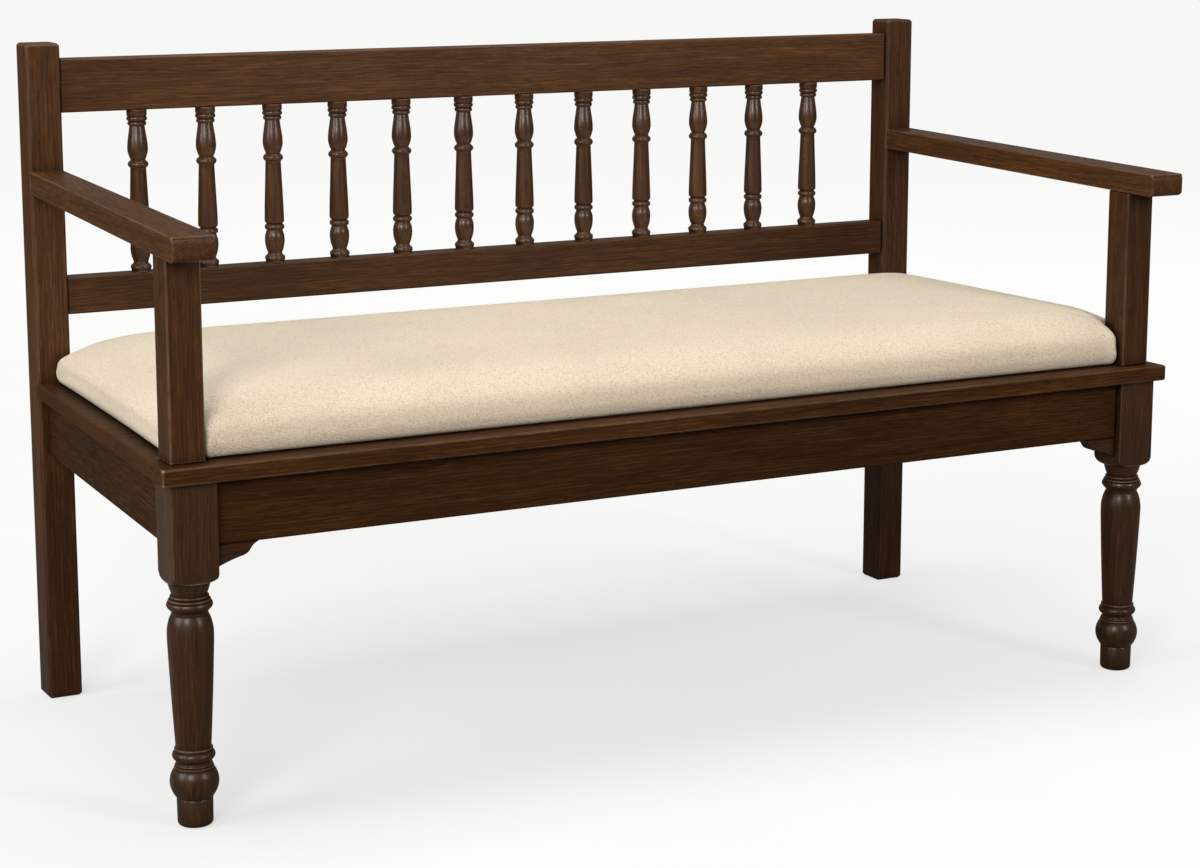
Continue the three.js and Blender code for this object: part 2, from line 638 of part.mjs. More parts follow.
function pad() {
  const body = flare(stackedPad([
    [PAD_BOTTOM, 3], [PAD_BOTTOM + 6, 1], [PAD_BOTTOM + 16, 0], [PAD_TOP - 30, 1], [PAD_TOP - 19, 6],
    [PAD_TOP - 10, 16], [PAD_TOP - 4.5, 34], [PAD_TOP - 1.5, 64], [PAD_TOP, 120],
  ]));
  const recess = flare(slab(grown({
    x: [-PAD_X + BASE_INSET, PAD_X - BASE_INSET],
    y: [PAD_FRONT + BASE_INSET, PAD_REAR - BASE_INSET],
    z: [SEAT_TOP, PAD_BOTTOM + PAD_BASE],
  })));
  const recessAroundPosts = cut(recess, ...bothEnds(postNotch(NOTCH_CLEARANCE + BASE_INSET - GAP)));
  return cut(body, ...bothEnds(postNotch(NOTCH_CLEARANCE)), recessAroundPosts);
}

add('pad_base', padBase(), PLY);
add('seat_pad', pad(), CLOTH);

export default pew;
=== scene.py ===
import math

import bpy
import numpy as np
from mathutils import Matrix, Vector


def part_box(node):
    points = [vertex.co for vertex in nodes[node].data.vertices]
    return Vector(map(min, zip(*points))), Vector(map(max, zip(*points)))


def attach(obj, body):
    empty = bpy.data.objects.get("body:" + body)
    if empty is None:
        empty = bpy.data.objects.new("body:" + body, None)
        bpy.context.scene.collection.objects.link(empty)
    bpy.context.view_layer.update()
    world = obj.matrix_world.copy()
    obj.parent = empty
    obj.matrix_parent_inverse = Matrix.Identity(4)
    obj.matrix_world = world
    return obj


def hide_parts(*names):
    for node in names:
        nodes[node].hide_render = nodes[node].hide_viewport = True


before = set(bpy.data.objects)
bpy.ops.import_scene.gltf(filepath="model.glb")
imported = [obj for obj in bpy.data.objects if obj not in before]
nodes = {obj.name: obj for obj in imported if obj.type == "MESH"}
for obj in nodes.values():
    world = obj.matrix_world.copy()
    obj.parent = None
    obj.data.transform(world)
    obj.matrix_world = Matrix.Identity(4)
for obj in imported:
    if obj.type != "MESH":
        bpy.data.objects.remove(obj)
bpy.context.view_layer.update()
MM = 0.001


# ---- Shader helpers -----------------------------------------------------------------------------

class Shader:
    """A material and the few calls that its node tree is built with."""

    def __init__(self, name):
        self.material = bpy.data.materials.new(name)
        self.material.use_nodes = True
        self.tree = self.material.node_tree
        self.surface = self.tree.nodes["Principled BSDF"]

    def node(self, kind, inputs=None, **settings):
        made = self.tree.nodes.new("ShaderNode" + kind)
        for key, value in settings.items():
            setattr(made, key, value)
        for key, value in (inputs or {}).items():
            self.feed(made.inputs[key], value)
        return made

    def feed(self, socket, value):
        if isinstance(value, bpy.types.NodeSocket):
            self.tree.links.new(value, socket)
        else:
            socket.default_value = value

    def place(self):
        """The place of a point in the pew, in metres."""
        return self.node("TexCoord").outputs["Object"]

    def math(self, operation, first, second=0.0, third=0.0):
        inputs = {0: first, 1: second, 2: third}
        return self.node("Math", inputs, operation=operation).outputs[0]

    def scaled(self, vector, scale):
        inputs = {"Vector": vector, "Scale": scale}
        return self.node("Mapping", inputs, vector_type="POINT").outputs[0]

    def shifted(self, vector, offset):
        return self.node("VectorMath", {0: vector, 1: offset}, operation="ADD").outputs[0]

    def openness(self, reach, **settings):
        """1 where nothing lies within reach of a point, less where something does. With inside=True it
        looks into the piece, so it is less where the piece is thin."""
        return self.node("AmbientOcclusion", {"Distance": reach}, samples=8, **settings).outputs["AO"]

    def noise(self, vector, scale=1.0, detail=2.0, roughness=0.5):
        inputs = {"Vector": vector, "Scale": scale, "Detail": detail, "Roughness": roughness}
        return self.node("TexNoise", inputs).outputs["Fac"]

    def remap(self, value, low, high, to_low=0.0, to_high=1.0):
        inputs = {"Value": value, "From Min": low, "From Max": high, "To Min": to_low, "To Max": to_high}
        return self.node("MapRange", inputs, clamp=True).outputs[0]

    def mix(self, factor, first, second, blend="MIX"):
        made = self.node("Mix", data_type="RGBA", blend_type=blend)
        for index, value in ((0, factor), (6, first), (7, second)):
            self.feed(made.inputs[index], value)
        return made.outputs[2]

    def dimmed(self, colour, share):
        grey = self.node("CombineColor", {0: share, 1: share, 2: share}).outputs[0]
        return self.mix(1.0, colour, grey, "MULTIPLY")

    def ramp(self, factor, *stops):
        """A colour for each factor, from stops given as a place and a colour."""
        made = self.node("ValToRGB", {"Fac": factor})
        elements = made.color_ramp.elements
        while len(elements) < len(stops):
            elements.new(0.5)
        for element, (place, colour) in zip(elements, stops):
            element.position = place
            element.color = (*colour, 1)
        return made.outputs["Color"]

    def bump(self, height, distance, strength=1.0, under=None):
        """A normal for a relief of 0 to 1, distance high, on top of the relief under it."""
        inputs = {"Height": height, "Distance": distance, "Strength": strength}
        if under is not None:
            inputs["Normal"] = under
        return self.node("Bump", inputs).outputs[0]

    def set(self, **values):
        """Feeds the surface's own sockets, named with _ for each space."""
        for key, value in values.items():
            self.feed(self.surface.inputs[key.replace("_", " ")], value)


# ---- Wood ---------------------------------------------------------------------------------------

# The edge colour of each look is the colour of rubbed edges, made lighter as a painted highlight.
STAINED = {
    "dark": (0.017, 0.0062, 0.0018),
    "body": (0.068, 0.0250, 0.0064),
    "light": (0.150, 0.059, 0.0155),
    "edge": (0.44, 0.30, 0.19),
    "rough": (0.34, 0.50),
    "specular": 0.16,
    "coat": 0.04,
}
TURNED = {**STAINED, "rough": (0.28, 0.40), "specular": 0.24, "coat": 0.12}
POLISHED = {**TURNED, "rough": (0.24, 0.34), "specular": 0.36, "coat": 0.16}
DULL = {**STAINED, "rough": (0.40, 0.55), "specular": 0.06, "coat": 0.0}
PLAIN = {
    "dark": (0.13, 0.065, 0.03),
    "body": (0.29, 0.165, 0.085),
    "light": (0.40, 0.25, 0.14),
    "edge": (0.42, 0.28, 0.17),
    "rough": (0.6, 0.75),
    "specular": 0.3,
    "coat": 0.0,
}

# Which object axis runs along the grain, then the two across it.
GRAIN = {"x": (0, 1, 2), "y": (1, 2, 0), "z": (2, 0, 1)}

# How fine each layer of the grain is along the grain, then across it.
SWAY = (2.4, 12, 12)
FIBRES = (22, 520, 520)
FLECKS = (55, 900, 900)
STREAKS = (7, 150, 150)
PORES = (90, 1500, 1500)
CLOUD = (3, 10, 10)

RING_SCALE = 75.0
RING_SHARPNESS = 2.2
RING_WEIGHT = 0.10
SWAY_WIDTH = 0.02                # how far the rings wander across the grain
TONE_RANGE = (0.58, 1.14)        # the sum of all layers, from light wood to dark
BODY_TONE = 0.46                 # where the body colour comes between the two
PORE_RELIEF = 0.12 * MM
EDGE_REACH = 2.8 * MM            # wood thinner than this counts as an edge
EDGE_RANGE = (0.88, 0.64)
# Darkening in recesses and under other parts, partly dirt and partly painted shade.
GRIME_AND_SHADE_REACH = 15 * MM
GRIME_AND_SHADE_RANGE = (0.28, 0.9)
GRIME_AND_SHADE_DARKEST = 0.32
FOOT_SHADE_RANGE = (0.05, 0.42)        # heights between which a piece is painted darker towards its foot, as shade
WORN_AND_GLINT_FADE = 6 * MM


def wood(name, grain, look, number, depth=1.0, wear_and_glint=1.0, foot=1.0, worn_and_glint_to=None):
    """Solid timber: growth rings round a distant heart, fibres and pores along the grain, rubbed edges that
    are also lighter as a painted highlight, and darkening in its recesses and under other parts that is
    partly dirt and partly painted shade.
    number picks the tree that the piece comes from. depth below 1 darkens the piece, partly as a deeper
    stain and partly as painted shade on pieces that stand in shade. wear_and_glint below 1 leaves more of
    the stain on the edges and less painted highlight, and foot below 1 paints shade on the piece towards the
    floor. Behind worn_and_glint_to, a place on Y, no edge is rubbed or given a painted highlight."""
    s = Shader(name)
    parts = s.node("SeparateXYZ", {0: s.place()}).outputs
    turned_round = s.node("CombineXYZ", {i: parts[axis] for i, axis in enumerate(GRAIN[grain])}).outputs[0]
    heart = (0.37 * number, 0.11 + 0.023 * (number % 5), 0.16 + 0.017 * (number % 7))
    along = s.shifted(turned_round, heart)

    sway = s.noise(s.scaled(along, SWAY), detail=3)
    wander = s.math("MULTIPLY_ADD", sway, SWAY_WIDTH, -SWAY_WIDTH / 2)
    wandering = s.shifted(along, s.node("CombineXYZ", {1: wander, 2: wander}).outputs[0])
    rings = s.node("TexWave", {
        "Vector": wandering, "Scale": RING_SCALE, "Distortion": 2.2, "Detail": 3.0, "Detail Scale": 0.8,
    }, wave_type="RINGS", rings_direction="X", wave_profile="SAW").outputs["Fac"]
    fibres = s.noise(s.scaled(wandering, FIBRES), detail=3, roughness=0.65)
    flecks = s.noise(s.scaled(wandering, FLECKS), detail=2, roughness=0.6)
    streaks = s.noise(s.scaled(wandering, STREAKS), detail=2, roughness=0.5)
    pores = s.noise(s.scaled(along, PORES), detail=1)
    cloud = s.noise(s.scaled(along, CLOUD), detail=2)

    tone = s.math("MULTIPLY", s.math("POWER", rings, RING_SHARPNESS), RING_WEIGHT)
    for layer, weight in ((fibres, 0.62), (flecks, 0.42), (streaks, 0.36), (cloud, 0.24)):
        tone = s.math("MULTIPLY_ADD", layer, weight, tone)
    tone = s.remap(tone, *TONE_RANGE)
    light, body, dark = (tuple(part * depth for part in look[key]) for key in ("light", "body", "dark"))
    colour = s.ramp(tone, (0.0, light), (BODY_TONE, body), (1.0, dark))

    # Lighter edges, partly rubbed wood and partly a painted highlight along the arrises.
    edge = s.remap(s.openness(EDGE_REACH, inside=True), *EDGE_RANGE)
    patches = s.remap(s.noise(along, 30, detail=3), 0.34, 0.62, 0.35 * wear_and_glint, wear_and_glint)
    worn_and_glint = s.math("MULTIPLY", edge, patches)
    if worn_and_glint_to is not None:
        worn_and_glint = s.math("MULTIPLY", worn_and_glint, s.remap(parts[1], worn_and_glint_to, worn_and_glint_to + WORN_AND_GLINT_FADE, 1.0, 0.0))
    colour = s.mix(worn_and_glint, colour, (*look["edge"], 1))
    # Darker in recesses and under other parts, partly dirt and partly painted shade.
    grime_and_shade = s.remap(s.openness(GRIME_AND_SHADE_REACH), *GRIME_AND_SHADE_RANGE, GRIME_AND_SHADE_DARKEST, 1.0)
    # Painted shade towards the floor.
    grime_and_shade = s.math("MULTIPLY", grime_and_shade, s.remap(parts[2], *FOOT_SHADE_RANGE, foot, 1.0))
    colour = s.dimmed(colour, grime_and_shade)

    low, high = look["rough"]
    roughness = s.math("ADD", s.remap(fibres, 0.3, 0.7, low, high), s.math("MULTIPLY", worn_and_glint, 0.08))
    grooves = s.remap(pores, 0.3, 0.5)
    relief = s.math("MULTIPLY_ADD", grooves, 0.7, s.math("MULTIPLY", fibres, 0.5))
    s.set(Base_Color=colour, Roughness=roughness, Normal=s.bump(relief, PORE_RELIEF, 0.5))
    s.set(Specular_IOR_Level=look["specular"], Coat_Weight=look["coat"], Coat_Roughness=0.2)
    return s.material


def plywood(name):
    """Thin veneers one on another, seen as bands on the sheet's edge."""
    s = Shader(name)
    place = s.place()
    layers = s.node("TexWave", {"Vector": place, "Scale": 105.0}, bands_direction="Z").outputs["Fac"]
    fibres = s.noise(s.scaled(place, (20, 420, 420)), detail=3, roughness=0.6)
    tone = s.math("MULTIPLY_ADD", layers, 0.35, s.math("MULTIPLY", fibres, 0.65))
    s.set(Base_Color=s.ramp(tone, (0.2, (0.30, 0.19, 0.10)), (0.8, (0.55, 0.39, 0.22))))
    s.set(Roughness=s.remap(fibres, 0.3, 0.7, 0.7, 0.85), Normal=s.bump(fibres, 0.15 * MM))
    return s.material


def zinc(name):
    """Dull zinc plating with fine turning marks."""
    s = Shader(name)
    place = s.place()
    marks = s.noise(s.scaled(place, (150, 150, 2500)), detail=2)
    blooms = s.noise(place, 420, detail=3)
    s.set(Base_Color=s.ramp(blooms, (0.3, (0.42, 0.42, 0.41)), (0.7, (0.62, 0.61, 0.58))))
    s.set(Metallic=1.0, Roughness=s.remap(marks, 0.3, 0.7, 0.26, 0.44), Normal=s.bump(marks, 0.04 * MM))
    return s.material


# ---- Cloth --------------------------------------------------------------------------------------

THREAD = 1.7 * MM                # distance between neighbouring threads
THREAD_SHAKE = 2.6 * MM          # how far a thread strays from its line
THREAD_DRIFT = 4 * MM            # and how far all of them do together
WEAVE_RELIEF = 1.0 * MM
FUZZ_RELIEF = 0.1 * MM
PEBBLE_SCALE = 470.0
CLOTH_GAP = (0.46, 0.34, 0.215)
CLOTH_YARN = (0.74, 0.61, 0.445)
CLOTH_KNOT = (0.90, 0.785, 0.605)
# Painted shade where the cloth comes near the seat and the posts.
CONTACT_SHADE_REACH = 24 * MM
CONTACT_SHADE_RANGE = (0.35, 0.85)
CONTACT_SHADE_DARKEST = 0.66


def plain_weave(s, first, second):
    """Height of a plain weave over two surface directions, both in metres: threads pass over and under."""
    turn = math.pi / THREAD
    a = s.math("MULTIPLY", first, turn)
    b = s.math("MULTIPLY", second, turn)
    over = s.math("MULTIPLY", s.math("SIGN", s.math("SINE", a)), s.math("SINE", b))
    across_a = s.math("ABSOLUTE", s.math("SINE", a))
    across_b = s.math("ABSOLUTE", s.math("SINE", b))
    warp = s.math("MULTIPLY", across_a, s.remap(over, -1, 1, 0.25, 1))
    weft = s.math("MULTIPLY", across_b, s.remap(over, 1, -1, 0.25, 1))
    return s.math("MAXIMUM", warp, weft)


def woven_cloth(name):
    """Cream plain weave of uneven slubby yarn, darker between its threads, with a soft nap, and painted
    shade near the seat and the posts.
    """
    s = Shader(name)
    place = s.place()
    slub = s.noise(place, 330, detail=3, roughness=0.6)
    drift = s.math("MULTIPLY_ADD", s.noise(place, 30, detail=2), THREAD_DRIFT, -THREAD_DRIFT / 2)
    x, y, z = s.node("SeparateXYZ", {0: place}).outputs
    shaken = []
    for axis, seed in ((x, 0.0), (y, 3.7), (z, 8.1)):
        apart = s.shifted(place, (seed, seed, seed))
        shake = s.math("MULTIPLY_ADD", s.noise(apart, 260, detail=2), THREAD_SHAKE, drift)
        shaken.append(s.math("ADD", axis, shake))
    x, y, z = shaken
    normal = s.node("NewGeometry").outputs["Normal"]
    nx, ny, nz = (s.math("ABSOLUTE", part) for part in s.node("SeparateXYZ", {0: normal}).outputs)
    top = s.math("GREATER_THAN", nz, 0.6)
    front = s.math("GREATER_THAN", ny, nx)
    second = s.node("Mix", {0: top, 2: z, 3: y}).outputs[0]
    first = s.node("Mix", {0: s.math("MAXIMUM", top, front), 2: y, 3: x}).outputs[0]
    weave = plain_weave(s, first, second)
    pebbles = s.node("TexVoronoi", {"Vector": place, "Scale": PEBBLE_SCALE, "Randomness": 1.0},
                     feature="SMOOTH_F1").outputs["Distance"]
    pebble = s.remap(pebbles, 0.1, 0.75, 1.0, 0.0)
    surface = s.math("MULTIPLY_ADD", weave, 0.55, s.math("MULTIPLY", pebble, 0.45))

    fuzz = s.noise(place, 1100, detail=3, roughness=0.7)
    tone = s.math("MULTIPLY_ADD", surface, 0.66, s.math("MULTIPLY", slub, 0.34))
    colour = s.ramp(tone, (0.20, CLOTH_GAP), (0.46, CLOTH_YARN), (0.80, CLOTH_KNOT))
    cloud = s.remap(s.noise(place, 7, detail=2), 0.3, 0.7, 0.95, 1.03)
    # Painted shade near the seat and the posts.
    contact_shade = s.remap(s.openness(CONTACT_SHADE_REACH), *CONTACT_SHADE_RANGE, CONTACT_SHADE_DARKEST, 1.0)
    colour = s.dimmed(colour, s.math("MULTIPLY", cloud, contact_shade))
    relief = s.bump(surface, WEAVE_RELIEF)
    s.set(Base_Color=colour, Roughness=s.remap(slub, 0.3, 0.7, 0.86, 0.97))
    s.set(Normal=s.bump(fuzz, FUZZ_RELIEF, 0.5, relief), Specular_IOR_Level=0.25)
    s.set(Sheen_Weight=0.2, Sheen_Roughness=0.55)
    return s.material


# ---- Mesh helpers -------------------------------------------------------------------------------

SHARP_ANGLE = 35                 # degrees between faces from which an edge stays sharp
BEVEL_ANGLE = 28                 # degrees from which an edge is rounded


def finished(obj, material, replaced):
    """Gives a new piece its material, its body and the CAD nodes that it stands for."""
    obj.data.materials.clear()
    obj.data.materials.append(material)
    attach(obj, "root")
    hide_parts(*replaced)


def new_object(name, points, faces):
    mesh = bpy.data.meshes.new(name)
    mesh.from_pydata([tuple(p) for p in points], [], faces)
    mesh.update()
    obj = bpy.data.objects.new(name, mesh)
    bpy.context.scene.collection.objects.link(obj)
    return obj


def smooth(obj, angle=SHARP_ANGLE):
    mesh = obj.data
    mesh.polygons.foreach_set("use_smooth", [True] * len(mesh.polygons))
    mesh.set_sharp_from_angle(angle=math.radians(angle))


def applied(obj):
    """Puts an object's modifiers into its mesh."""
    seen = obj.evaluated_get(bpy.context.evaluated_depsgraph_get())
    mesh = bpy.data.meshes.new_from_object(seen)
    obj.modifiers.clear()
    obj.data = mesh


def even_shading(obj):
    """Lets the broad faces of a board decide the normals at its rounded edges."""
    shading = obj.modifiers.new("even shading", "WEIGHTED_NORMAL")
    shading.keep_sharp = True
    shading.weight = 80


def stacked(name, rings, angle=SHARP_ANGLE):
    """Joins closed rings of points in order and closes both ends with a face."""
    count = len(rings[0])
    points = [p for ring in rings for p in ring]
    faces = []
    for level in range(len(rings) - 1):
        base = level * count
        for i in range(count):
            after = (i + 1) % count
            faces.append((base + i, base + after, base + count + after, base + count + i))
    faces.append(tuple(reversed(range(count))))
    faces.append(tuple(range(len(points) - count, len(points))))
    obj = new_object(name, points, faces)
    smooth(obj, angle)
    return obj


# A turned profile is drawn upwards as strokes: straight lines, swells and hollows.
def stroke(path, radius, height, bulge=0.0, power=1.0, steps=10):
    """Adds a stroke to a profile. bulge is how far its middle stands out, power how square it is."""
    r0, z0 = path[-1]
    steps = steps if bulge else 1
    for i in range(1, steps + 1):
        t = i / steps
        out = bulge * math.sin(math.pi * t) ** power if 0 < t < 1 else 0.0
        path.append((r0 + (radius - r0) * t + out, z0 + (height - z0) * t))


def flow(path, points, steps=7):
    """Adds a smooth curve through radius and height points, going on from the last one."""
    ends = [path[-1], *points]
    heights = [z for _, z in ends]
    slopes = []
    for i in range(len(ends)):
        before = ends[max(i - 1, 0)]
        after = ends[min(i + 1, len(ends) - 1)]
        rise = (ends[i][0] - before[0]) * (after[0] - ends[i][0])
        inner = 0 < i < len(ends) - 1
        slopes.append(0.0 if inner and rise <= 0 else (after[0] - before[0]) / (after[1] - before[1]))
    for i in range(len(ends) - 1):
        span = heights[i + 1] - heights[i]
        for step in range(1, steps + 1):
            t = step / steps
            radius = ((2 * t ** 3 - 3 * t * t + 1) * ends[i][0] + (t ** 3 - 2 * t * t + t) * span * slopes[i]
                      + (3 * t * t - 2 * t ** 3) * ends[i + 1][0] + (t ** 3 - t * t) * span * slopes[i + 1])
            path.append((radius, heights[i] + span * t))


def quarter(path, radius, height, steps=7):
    """Adds a quarter round that starts level and ends upright when it widens, or the reverse."""
    r0, z0 = path[-1]
    for i in range(1, steps + 1):
        t = i / steps * math.pi / 2
        if radius > r0:
            path.append((r0 + (radius - r0) * math.sin(t), z0 + (height - z0) * (1 - math.cos(t))))
        else:
            path.append((radius + (r0 - radius) * math.cos(t), z0 + (height - z0) * math.sin(t)))


# ---- Turned pieces ------------------------------------------------------------------------------

def spindle_profile(length):
    """Radius and height in millimetres, from the lower rail up to the crest rail."""
    path = [(12.2, 0.0)]

    def to(radius, part, bulge=0.0, power=1.0, steps=10):
        stroke(path, radius, part * length, bulge, power, steps)

    def through(*points):
        flow(path, [(radius, part * length) for radius, part in points])

    to(12.7, 0.016)
    to(12.2, 0.042, 1.0, 0.6, 8)
    to(9.4, 0.060, -0.7)
    to(9.9, 0.066)
    through((11.9, 0.095), (13.1, 0.140), (12.5, 0.175), (10.5, 0.203))
    to(10.9, 0.208)
    to(10.9, 0.242, 2.2, 0.55, 12)
    to(10.3, 0.248)
    quarter(path, 13.0, 0.268 * length)
    through((12.5, 0.36), (11.3, 0.50), (10.2, 0.637))
    to(10.6, 0.643)
    to(10.6, 0.684, 2.7, 0.75, 12)
    to(9.4, 0.691)
    through((11.3, 0.712), (13.2, 0.754), (12.7, 0.800), (10.9, 0.860), (9.8, 0.898))
    to(10.8, 0.902)
    to(10.8, 0.926, 1.4, 0.6, 8)
    to(11.6, 0.930)
    to(11.8, 0.957, 1.5, 0.6, 10)
    to(12.4, 0.961)
    to(13.0, 0.966)
    to(13.0, 1.0)
    return path


def leg_profile(top):
    """Radius and height in millimetres, from the floor to the top of the block."""
    path = [(15.5, 0.0)]

    def to(radius, height, bulge=0.0, power=1.0, steps=8):
        stroke(path, radius, height, bulge, power, steps)

    quarter(path, 20.2, 4.6)
    to(20.6, 31.4)
    to(20.0, 32.4)
    to(20.9, 33.4)
    to(22.8, 66.4, 6.0, 0.8, 26)
    to(21.9, 67.0)
    to(21.5, 69.7, 0.9, 0.7)
    to(20.7, 70.2)
    to(20.3, 72.7, 0.9, 0.7)
    to(19.8, 73.3)
    to(20.2, 76.0, -0.3)
    to(21.0, 87.6, 3.8, 0.7, 16)
    to(20.5, 88.1)
    to(20.4, 91.6, 1.5, 0.7)
    to(19.7, 92.2)
    to(20.2, 93.2)
    to(26.1, 212.0, 0.3, 1.0, 24)
    flow(path, [(26.3, 222.0), (26.1, 228.0), (25.0, 234.6), (23.3, 240.8), (21.2, 245.4)])
    to(20.4, 246.2)
    flow(path, [(21.2, 249.4), (24.3, 252.8), (26.1, 256.4), (25.2, 259.6)])
    to(22.9, 260.4)
    to(22.6, 263.8, 1.3, 0.7)
    to(20.9, 264.3)
    to(20.9, 268.0, 1.2, 0.7)
    to(19.7, 268.6)
    to(24.2, 282.6, 0.3, 1.0, 12)
    to(24.8, 284.0)
    quarter(path, 36.8, 292.6, 14)
    to(40.0, 293.2)
    to(40.0, top)
    return path


def circle(sides):
    return [(math.cos(2 * math.pi * i / sides), math.sin(2 * math.pi * i / sides)) for i in range(sides)]


def square(side, corner, per_flat=16, per_corner=6):
    """The outline of a square with rounded corners, its points spread along the flats and the corners."""
    flat = side / 2 - corner
    outline = []
    for quarter_turn in range(4):
        c, s = ((1, 0), (0, 1), (-1, 0), (0, -1))[quarter_turn]
        local = [(side / 2, -flat + 2 * flat * i / per_flat) for i in range(per_flat)]
        for i in range(per_corner + 1):
            angle = math.pi / 2 * i / per_corner
            local.append((flat + corner * math.cos(angle), flat + corner * math.sin(angle)))
        outline.extend((x * c - y * s, x * s + y * c) for x, y in local[:-1])
    return outline


def turned(name, path, x, y, floor, outline):
    """A lathe form, cut to the outline where the form is wider than that."""
    rings = []
    for radius, height in path:
        ring = []
        for px, py in outline:
            reach = math.hypot(px, py)
            cut = min(radius, reach) / reach
            ring.append((x + px * cut * MM, y + py * cut * MM, floor + height * MM))
        rings.append(ring)
    return stacked(name, rings)


LEG_CORNER = 1.8                 # rounding of the upright edges of a leg's block, in millimetres
LEG_FOOT_SHADE = 0.74                  # how light a leg's foot is beside its head: the darkening is painted shade
SPINDLE_SIDES = 44
SPINDLE_WIDEST = 20              # millimetres, more than any radius in the profile


def make_spindles():
    rail_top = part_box("lower_back_rail")[1].z
    crest_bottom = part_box("crest_rail")[0].z
    length = (crest_bottom - rail_top) / MM
    outline = [(SPINDLE_WIDEST * c, SPINDLE_WIDEST * s) for c, s in circle(SPINDLE_SIDES)]
    # The spindles' low depth is partly painted shade, darkening their sides.
    material = wood("wood_spindles", "z", POLISHED, 20, depth=0.70, wear_and_glint=0.3)
    for name in sorted(node for node in nodes if node.startswith("spindle_")):
        low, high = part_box(name)
        centre = (low + high) / 2
        piece = turned("turned_" + name, spindle_profile(length), centre.x, centre.y, rail_top, outline)
        finished(piece, material, [name])


def make_legs():
    for number, name in enumerate(("front_leg_left", "front_leg_right")):
        low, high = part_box(name)
        centre = (low + high) / 2
        path = leg_profile((high.z - low.z) / MM)
        outline = square((high.x - low.x) / MM, LEG_CORNER)
        piece = turned("turned_" + name, path, centre.x, centre.y, low.z, outline)
        # A leg's low depth is partly painted shade, and foot paints it darker still, as shade, towards the
        # floor.
        material = wood("wood_" + name, "z", TURNED, number + 11, depth=0.62, wear_and_glint=0.4, foot=LEG_FOOT_SHADE)
        finished(piece, material, [name])


# ---- Arms ---------------------------------------------------------------------------------------

ARM_FALL = 13 * MM               # how much lower an arm is at its front end than at the post
ARM_THICKNESS = 29 * MM
ARM_REAR_WIDTH = 44 * MM
ARM_FRONT_WIDTH = 50 * MM
ARM_EDGE = 2.0 * MM              # rounding along the arm
NOSE_TOP = 5.5 * MM              # rounding over the top of the front end, under the step
NOSE_BOTTOM = 10 * MM
NOSE_SIDE = 4.5 * MM
NOSE_DOME = 1 * MM               # how far the flat of the end stands out in its middle
STEP_BACK = 3 * MM               # a small step runs across the end just under the top edge
STEP_DROP = 2.4 * MM
STEP_EDGE = 1.2 * MM             # rounding of the top edge behind the step
ARM_SHARP_ANGLE = 50

# Where an arm's sections stand: millimetres behind its front end, then shares of its length.
ARM_NEAR = (0, 0.15, 0.5, 1.0, 1.5, 2.1, 2.8, 2.95, 3.05, 3.3, 3.7, 4.3, 5.2, 6.4, 8, 10, 11.5, 20, 40)
ARM_FAR = (0.15, 0.35, 0.6, 0.8, 1.0)


def drawn_in(reach, depth):
    """How far a rounded end of a given reach has drawn in at a depth behind its tip."""
    if depth >= reach:
        return 0.0
    return reach - math.sqrt(reach ** 2 - (reach - depth) ** 2)


def rounded_section(x, z, radius, steps=4):
    """A rectangle with rounded corners between two limits on each axis, going round from +X to +Z."""
    points = []
    for corner, (cx, cz) in enumerate(((x[1] - radius, z[0] + radius), (x[1] - radius, z[1] - radius),
                                       (x[0] + radius, z[1] - radius), (x[0] + radius, z[0] + radius))):
        for i in range(steps + 1):
            angle = math.pi / 2 * (corner - 1 + i / steps)
            points.append((cx + radius * math.cos(angle), cz + radius * math.sin(angle)))
    return points


def make_arms():
    post_low, post_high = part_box("rear_post_right")
    arm_low, arm_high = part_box("armrest_right")
    front = arm_low.y
    length = post_low.y - front
    depths = [depth * MM for depth in ARM_NEAR] + [length * part for part in ARM_FAR]
    for number, (end, side) in enumerate((("left", -1), ("right", 1))):
        rings = []
        for depth in depths:
            part = depth / length
            outer = arm_high.x + (post_high.x - arm_high.x) * part
            width = ARM_FRONT_WIDTH + (ARM_REAR_WIDTH - ARM_FRONT_WIDTH) * part
            top = arm_high.z - ARM_FALL * (1 - part)
            behind_step = depth - STEP_BACK
            flat = drawn_in(NOSE_DOME * 4, depth * 4)
            inset = drawn_in(NOSE_SIDE, depth) + flat
            if behind_step < 0:
                fallen = STEP_DROP + drawn_in(NOSE_TOP, depth)
            else:
                fallen = drawn_in(STEP_EDGE, behind_step)
            x = (outer - width + inset, outer - inset)
            z = (top - ARM_THICKNESS + drawn_in(NOSE_BOTTOM, depth) + flat, top - fallen)
            section = rounded_section(x, z, ARM_EDGE)
            rings.append([(side * px, front + depth, pz) for px, pz in section])
        if side > 0:
            rings = [list(reversed(ring)) for ring in rings]
        piece = stacked("shaped_armrest_" + end, rings, ARM_SHARP_ANGLE)
        even_shading(piece)
        material = wood("wood_armrest_" + end, "y", STAINED, number + 31, depth=0.94, wear_and_glint=0.6)
        finished(piece, material, ["armrest_" + end])


# ---- Boards and rails ---------------------------------------------------------------------------

def soften(node, radius, segments=3):
    """Rounds a CAD node's edges and evens out the shading of its faces."""
    obj = nodes[node]
    round_off = obj.modifiers.new("rounded edges", "BEVEL")
    round_off.width = radius
    round_off.segments = segments
    round_off.limit_method = "ANGLE"
    round_off.angle_limit = math.radians(BEVEL_ANGLE)
    for polygon in obj.data.polygons:
        polygon.use_smooth = True
    even_shading(obj)


